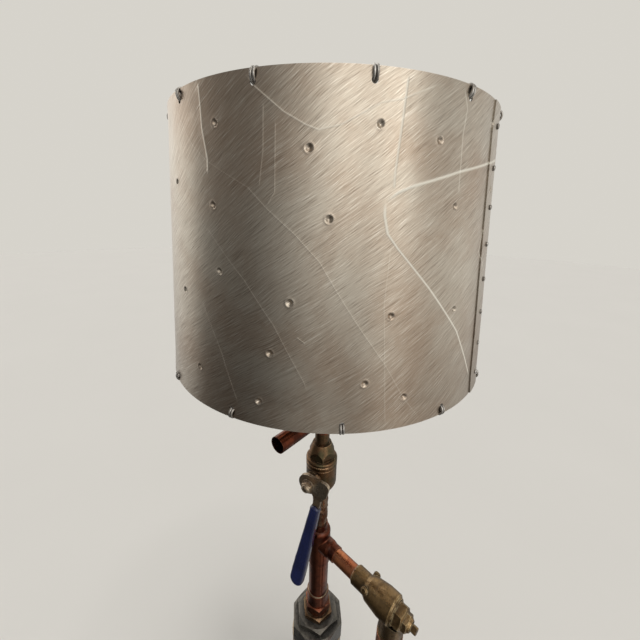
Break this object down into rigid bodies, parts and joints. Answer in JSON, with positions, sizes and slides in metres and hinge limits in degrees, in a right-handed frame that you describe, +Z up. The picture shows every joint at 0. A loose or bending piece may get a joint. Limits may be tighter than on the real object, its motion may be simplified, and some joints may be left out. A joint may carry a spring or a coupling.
{
  "type": "table_lamp",
  "caption": "Table lamp of copper pipe fittings: iron flanged column, ball valve with a lever, level branch with an angle valve and foot, and a laced sheet-metal drum shade",
  "frame": {"origin": "on the axis of the stem, in the plane that the floor flange stands on", "axes": "+Z up along the stem, +X to the right and -Y towards the viewer in the picture"},
  "size_m": [0.2482, 0.2482, 0.7282],
  "materials": {
    "iron": "dark cast iron, slightly glossy",
    "pale_brass": "pale bright brass",
    "patina_brass": "brown to greenish patinated brass",
    "bronze": "olive-gold cast bronze, dark in the hollows",
    "dark_copper": "dark red-brown copper",
    "bright_copper": "bright orange copper",
    "solder": "silvery solder",
    "seal": "white seat plastic",
    "chrome": "polished plated ball",
    "worn_steel": "pitted, brownish zinc-plated steel",
    "blue_grip": "glossy dark blue dipped vinyl",
    "rubber": "black rubber",
    "liner": "brown insulating card",
    "black_plastic": "black moulded plastic",
    "bare_aluminium": "bare thin aluminium",
    "bulb_glass": "frosted bulb glass",
    "shade_steel": "warm grey sheet brushed in short diagonal arcs, with creases and punched dimples",
    "wire": "plain silvery wire"
  },
  "bodies": {
    "frame": {"floor_flange": "iron", "column_nipple": "iron", "cord_grommet": "rubber", "base_coupling": "pale_brass", "octagon_bushing": "iron", "hex_bushing": "iron", "lock_nut": "patina_brass", "copper_adapter": "dark_copper", "lower_stem": "dark_copper", "stem_tee": "dark_copper", "branch_tube": "bright_copper", "solder_fillets": "solder", "valve_casting": "bronze", "valve_bonnet": "bronze", "gland_nut": "bronze", "drop_pipe": "bright_copper", "drop_collar": "bright_copper", "foot_flange": "iron", "tail_tube": "dark_copper", "valve_body": "patina_brass", "valve_end_piece": "patina_brass", "valve_seats": "seal", "stem_packing": "seal", "packing_nut": "patina_brass", "neck_nipple": "patina_brass", "side_tee": "dark_copper", "side_arm": "bright_copper", "riser_tube": "dark_copper", "riser_cap": "patina_brass", "riser_plug": "patina_brass", "threaded_rod": "worn_steel", "harp_saddle": "worn_steel", "harp": "worn_steel", "socket_cap": "patina_brass", "socket_shell": "patina_brass", "socket_liner": "liner", "socket_core": "black_plastic", "screw_shell": "bare_aluminium", "centre_contact": "patina_brass", "bulb_base": "bare_aluminium", "bulb_glass": "bulb_glass"},
    "lever": {"valve_ball": "chrome", "valve_stem": "patina_brass", "lever_arm": "worn_steel", "lever_grip": "blue_grip", "lever_nut": "worn_steel"},
    "spindle": {"valve_spindle": "bronze"},
    "jumper": {"valve_jumper": "patina_brass"},
    "key": {"key_shaft": "black_plastic", "key_knob": "black_plastic"},
    "shade": {"shade_sheet": "shade_steel", "top_ring": "wire", "bottom_ring": "wire", "top_laces": "wire", "bottom_laces": "wire", "spider": "wire", "finial": "patina_brass"}
  },
  "joints": [
    {"name": "lever_turn", "type": "hinge", "parent": "frame", "child": "lever", "pos_m": [0, 0, 0.4195], "axis": [-0.5, -0.866, 0], "range_deg": [0, 90]},
    {"name": "spindle_turn", "type": "hinge", "parent": "frame", "child": "spindle", "pos_m": [0.06906, -0.06669, 0.3205], "axis": [0.7193, -0.6947, 0], "range_deg": [0, 720]},
    {"name": "jumper_lift", "type": "slide", "parent": "frame", "child": "jumper", "axis": [0.7193, -0.6947, 0], "range_m": [0, 0.004]},
    {"name": "key_turn", "type": "hinge", "parent": "frame", "child": "key", "pos_m": [0.028, 0, 0.5816], "axis": [1, 0, 0], "continuous": true},
    {"name": "shade_turn", "type": "hinge", "parent": "frame", "child": "shade", "pos_m": [0, 0, 0.7], "axis": [0, 0, 1], "continuous": true}
  ],
  "couplings": [
    {"joint": "spindle_turn", "follows": "jumper_lift", "rad_per_m": 3141.6}
  ]
}
